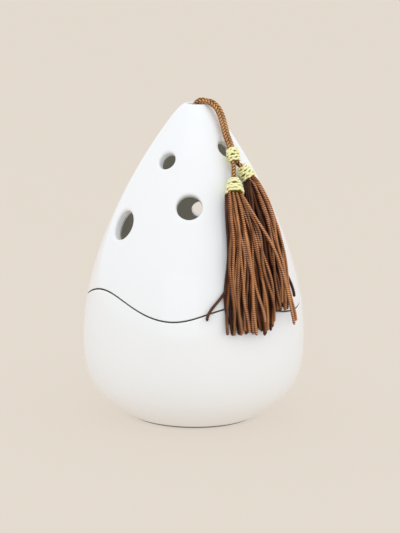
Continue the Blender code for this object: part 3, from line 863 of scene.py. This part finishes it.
bm = new_yarn()
looped_rows(bm, wrap_places, lambda share: wrap_radius(share * WRAP_STEPS), WRAP_ROWS,
            WRAP_LOOPS, WRAP_THREAD, WRAP_SWAY, random.Random(5))
painted_shade_core(bm, wrap_places, lambda step: wrap_radius(step) - 0.1 * MM, GILT_BED_SIDES)
close_tubes(bm)
collar = finish_piece("gilt_collar", bm, gilt_thread, "cord_drop")
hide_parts("collar_wrap")

# Tassel cords and heads. Each tassel hangs from a short plaited cord that runs into its
# head: the threads are folded over it, tied, and cased in a looped net of gilt thread.
BRANCH_SPREAD = 1.25 * MM
BRANCH_DROP = 1.3 * MM
BRANCH_RADIUS = 0.62 * MM  # of the circle that its plies wind round
BRANCH_PLIES = 4
BRANCH_PITCH = 5.4 * MM
BRANCH_PLY_WIDTH = 0.78 * MM
BRANCH_PLY_THICKNESS = 0.46 * MM
BRANCH_PLY_RISE = 0.14 * MM
HEAD_STEPS = 24
HEAD_ROWS, HEAD_LOOPS = 5, 5
HEAD_THREAD = 0.56 * MM
HEAD_SWAY = 0.14 * MM
# Of each tassel: the ends of its head as (azimuth, height, clearance) and their radii, the
# threads in a row, where the threads end and how far they bow and spread, the threads that
# stray as {number: (aside, shorter)}, and long ones that cross the other tassel as
# (start across, end across, clearance).
TASSELS = {
    "left": {
        "side": -1.0, "top": (32.9, 98.8 * MM, 3.4 * MM), "bottom": (29.5, 93.2 * MM, 4.2 * MM),
        "radii": (2.6 * MM, 3.8 * MM), "row": 5, "end_azimuth": 29.2, "end_height": 43.0 * MM,
        "end_pitch": 2.2 * MM, "bow": 0.0, "seed": 3, "spread": (-10.2 * MM, 10.4 * MM),
        "strays": {1: (-8.5 * MM, 4.6 * MM)}, "across": ((2.4 * MM, 20.5 * MM, 4.6 * MM),),
    },
    "right": {
        "side": 1.0, "top": (46.0, 103.1 * MM, 3.3 * MM), "bottom": (49.5, 98.5 * MM, 3.6 * MM),
        "radii": (2.5 * MM, 3.1 * MM), "row": 4, "end_azimuth": 50.8, "end_height": 49.6 * MM,
        "end_pitch": 1.9 * MM, "bow": 5.5, "seed": 8, "spread": (-12.0 * MM, 3.8 * MM),
        "strays": {4: (5.0 * MM, 3.0 * MM), 10: (3.8 * MM, -5.0 * MM)}, "across": (),
    },
}


def branch_top(side):
    """Where a tassel cord begins, beside its twin just below the wrap."""
    out = Vector((wrap_end.x, wrap_end.y, 0.0)).normalized()
    sideways = Vector((-out.y, out.x, 0.0))
    return wrap_end + wrap_down * BRANCH_DROP + sideways * side * BRANCH_SPREAD


heads = []
for name, plan in TASSELS.items():
    top, bottom = on_shell(*plan["top"]), on_shell(*plan["bottom"])
    down = (bottom - top).normalized()
    start = branch_top(plan["side"])
    twig = even_route([start - wrap_down * 1.2 * MM, start, start.lerp(top, 0.5), top,
                       top + down * 2.0 * MM], 0.25 * MM)
    twig_places = stations(twig)
    bm = new_yarn()
    braid(bm, twig_places, BRANCH_PLIES, BRANCH_PITCH, lambda step: BRANCH_RADIUS,
          BRANCH_PLY_WIDTH, BRANCH_PLY_THICKNESS, BRANCH_PLY_RISE)
    painted_shade_core(bm, twig_places, lambda step: BRANCH_RADIUS - 0.02 * MM, 10)
    close_tubes(bm)
    branch = finish_piece(name + "_tassel_cord", bm, cord_yarn, name + "_tassel")
    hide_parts(name + "_branch_cord")

    head_line = [top.lerp(bottom, step / HEAD_STEPS) for step in range(HEAD_STEPS + 1)]
    head_places = stations(head_line)
    top_radius, bottom_radius = plan["radii"]

    def head_radius(share):
        """Radius of the head: shoulders at the top, then a widening skirt."""
        body = top_radius + (bottom_radius - top_radius) * share
        return body - 1.4 * MM * max(0.0, 1.0 - share / 0.25) ** 2 - 1.2 * GILT_THICKNESS

    bm = new_yarn()
    looped_rows(bm, head_places, head_radius, HEAD_ROWS, HEAD_LOOPS, HEAD_THREAD, HEAD_SWAY,
                random.Random(plan["seed"]))
    # The bed under the net is painted dark, as the shade in the gaps between the loops.
    painted_shade_core(bm, head_places, lambda step: head_radius(step / HEAD_STEPS) - 0.15 * MM,
               GILT_BED_SIDES)
    close_tubes(bm)
    head = finish_piece(name + "_tassel_head", bm, gilt_thread, name + "_tassel")
    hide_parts(name + "_tassel_cap", name + "_tassel_core")
    heads += [branch, head]

round(route_length(cord_points), 4)

# Tassel threads. More than forty to a tassel, each of two plies twisted hard together, cut to
# nearly one length. They leave the head in a tight bundle, spread over the shell in layers
# and wave a little where they were folded; a few stray out sideways.
STRAND_DIAMETER = 1.3 * MM
STRAND_LAY = 1.56 * MM
STRAND_GROOVE = 0.34  # depth of the twist, as a share of the radius
# Painted shade on the sides and back of each thread.
STRAND_SHADE = 0.85
STRAND_SIDES = 9
GAP = 0.35 * MM
STRAND_PITCH = 1.6 * MM
ROW_PITCH = 1.5 * MM
INNER_LAYER = 1.0 * MM
OUTER_LAYER = 2.6 * MM
STRAND_WANDER = 0.25 * MM
STRAND_POINTS = 40
LAYER_SHARE = 0.9  # share of a thread's length over which it settles into its layer
FLICK_START = 0.7  # share of a stray thread's length where it turns aside
BOW_LEAD = 0.6  # below 1 the sideways bow of a tassel is fullest above its middle
TUCK = 1.6 * MM  # how far a thread runs up into the head
TUCK_DRAW = 0.8  # how close the threads stand in there, as a share
MOUTH_INSET = 1.0 * MM
LAYER_STEP = 0.8 * MM  # between layers of threads under the head
CUT_SWAY = 0.8 * MM  # how unevenly the ends are cut
CUT_STRAY = (-1.2, 3.0)  # mm, more of it
WAVE_SIZE = (0.3, 0.5, 1.25)  # mm: least, most of a CAD thread, most of the others
WAVE_TURNS = (0.8, 2.2)
TWIN_LIFT = 1.3 * MM  # how far the left tassel climbs where it lies on the right one
SHADE_REACH = 9.0 * MM
SHADE_TONE = 0.55  # painted light left on the threads under the edge of the left tassel, in its shade
THREAD_TONES = (0.72, 1.08)
MORE_LAYERS = ((0.8 * MM, 12, 0.45), (1.8 * MM, 10, 0.75), (2.8 * MM, 7, 1.05),
               (3.5 * MM, 3, 1.15))  # clearance, count and painted light: the deeper layers are drawn darker
# Painted light of each row of CAD threads: the inner rows drawn darker, as in shade.
ROW_PAINTED_LIGHT = (0.55, 0.65, 1.1)
# Painted light on the long threads that cross over the other tassel.
CROSSING_PAINTED_LIGHT = 1.2
CROSSING_START = 1.2 * MM

# Painted light: the crease colour is painted shade, the crown colour a painted highlight.
copper_thread = yarn_finish("copper_brown_thread", (0.007, 0.002, 0.001),
                            (0.15, 0.040, 0.010), (0.86, 0.39, 0.16), 0.42, 0.0, 0.25)


def strand_rows(count, end_pitch):
    """The threads that the CAD has, by row: (row, start across, end across)."""
    rows = [(0, k - 0.5 * (count - 1), 2 * k - (count - 1)) for k in range(count)]
    rows += [(1, k - 0.5 * (count - 2), 2 * k - (count - 2)) for k in range(count - 1)]
    rows += [(2, k - 0.5 * (count - 1), 2 * k - (count - 1) + 0.5) for k in range(count - 1)]
    return [(row, start * STRAND_PITCH, end * end_pitch) for row, start, end in rows]


for name, plan in TASSELS.items():
    azimuth, height, clear = plan["bottom"]
    mouth_place = on_shell(*plan["bottom"])
    down = (mouth_place - on_shell(*plan["top"])).normalized()
    out = on_shell(azimuth, height, clear + 1.0) - mouth_place
    out = (out - down * out.dot(down)).normalized()
    sideways = out.cross(down)
    chance = random.Random(plan["seed"])
    mouth_reach = plan["radii"][1] - MOUTH_INSET
    low, high = plan["spread"]
    own = strand_rows(plan["row"], plan["end_pitch"])
    hung = [(start, (row - 1) * ROW_PITCH, end, OUTER_LAYER if row == 2 else INNER_LAYER,
             ROW_PAINTED_LIGHT[row]) for row, start, end in own]
    for layer, (lift, count, tone_and_painted_light) in enumerate(MORE_LAYERS):
        for number in range(count):
            share = (2 * number + 1) / count - 1.0 + chance.uniform(-0.5, 0.5) / count
            hung.append((share * mouth_reach, (layer - 1.5) * LAYER_STEP,
                         0.5 * (low + high) + 0.5 * share * (high - low),
                         lift + chance.uniform(-0.1, 0.3) * MM, tone_and_painted_light))
    for start_across, end_across, lift in plan["across"]:
        hung.append((start_across, CROSSING_START, end_across, lift, CROSSING_PAINTED_LIGHT))
    for number, (start_across, start_out, end_across, end_clear, tone_and_painted_light) in enumerate(hung, 1):
        extra = number > len(own)
        spread_lead = 1.2 if number > len(hung) - len(plan["across"]) else 2.0
        # Painted shade: extra threads of the right tassel are drawn darker towards its left, under the left
        # tassel.
        if extra and name == "right":
            in_light = smooth((end_across + SHADE_REACH) / SHADE_REACH)
            tone_and_painted_light *= SHADE_TONE + (1.0 - SHADE_TONE) * in_light
        start_clear = clear + start_out
        begin = mouth_place - down * TUCK
        begin += (sideways * start_across + out * start_out) * TUCK_DRAW
        flick, shorter = plan["strays"].get(number, (0.0, 0.0))
        end_height = plan["end_height"] + shorter + CUT_SWAY * math.sin(2.4 * number)
        if extra:
            end_height += chance.uniform(*CUT_STRAY) * MM
        wave_size = chance.uniform(WAVE_SIZE[0], WAVE_SIZE[2 if extra else 1]) * MM
        wave_turns = chance.uniform(*WAVE_TURNS)
        bow = plan["bow"] * (0.25 + 0.75 * start_across / mouth_reach if extra else 1.0)
        wave_start = chance.uniform(0.0, 6.28)
        wander_turn = 0.3 * start_across / STRAND_PITCH
        points = []
        for step in range(STRAND_POINTS):
            share = step / (STRAND_POINTS - 1)
            place = height + (end_height - height) * share
            turn = azimuth + (plan["end_azimuth"] - azimuth) * smooth(share)
            turn += bow * math.sin(math.pi * share ** BOW_LEAD)
            lift = start_clear + (end_clear - start_clear) * smooth(share / LAYER_SHARE)
            across = end_across + (start_across - end_across) * (1.0 - share) ** spread_lead
            across += flick * smooth((share - FLICK_START) / (1.0 - FLICK_START))
            across += STRAND_WANDER * math.sin(math.pi * share) * math.sin(
                5.0 * share + wander_turn)
            wave = 2.0 * math.pi * wave_turns * share + wave_start
            across += wave_size * smooth(share / 0.4) * math.sin(wave)
            lift += 0.35 * wave_size * smooth(share / 0.4) * (1.0 + math.cos(wave))
            if name == "left":
                lift += TWIN_LIFT * smooth((across / MM - 2.5) / 3.0) * smooth(share / 0.5)
            reach = wall_at(place)[0] + lift
            points.append(on_shell(turn + math.degrees(across / reach), place, lift))
        slack = (mouth_place + down * GAP + sideways * start_across + out * start_out
                 - points[0])
        for step, point in enumerate(points):
            point += slack * (1.0 - smooth(2.0 * step / (STRAND_POINTS - 1)))
        line = even_route([begin] + points, 0.19 * MM)
        last = len(line) - 1

        def thread_radius(step):
            """Full thickness, drawn in under the head and closed round at the cut end."""
            under_head = 0.72 + 0.28 * smooth(step / 30.0)
            cut_end = 0.55 + 0.45 * smooth((last - step) / 3.0)
            return 0.5 * STRAND_DIAMETER * under_head * cut_end

        bm = new_yarn()
        twisted(bm, stations(line, out), thread_radius, STRAND_LAY, STRAND_SIDES, STRAND_SHADE,
                STRAND_GROOVE, tone_and_painted_light * chance.uniform(*THREAD_TONES), chance.uniform(0.0, 3.14))
        close_tubes(bm)
        thread = finish_piece(f"{name}_thread_{number:02d}", bm, copper_thread,
                              name + "_tassel", 70.0)
        if not extra:
            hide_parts(f"{name}_strand_{number:02d}")
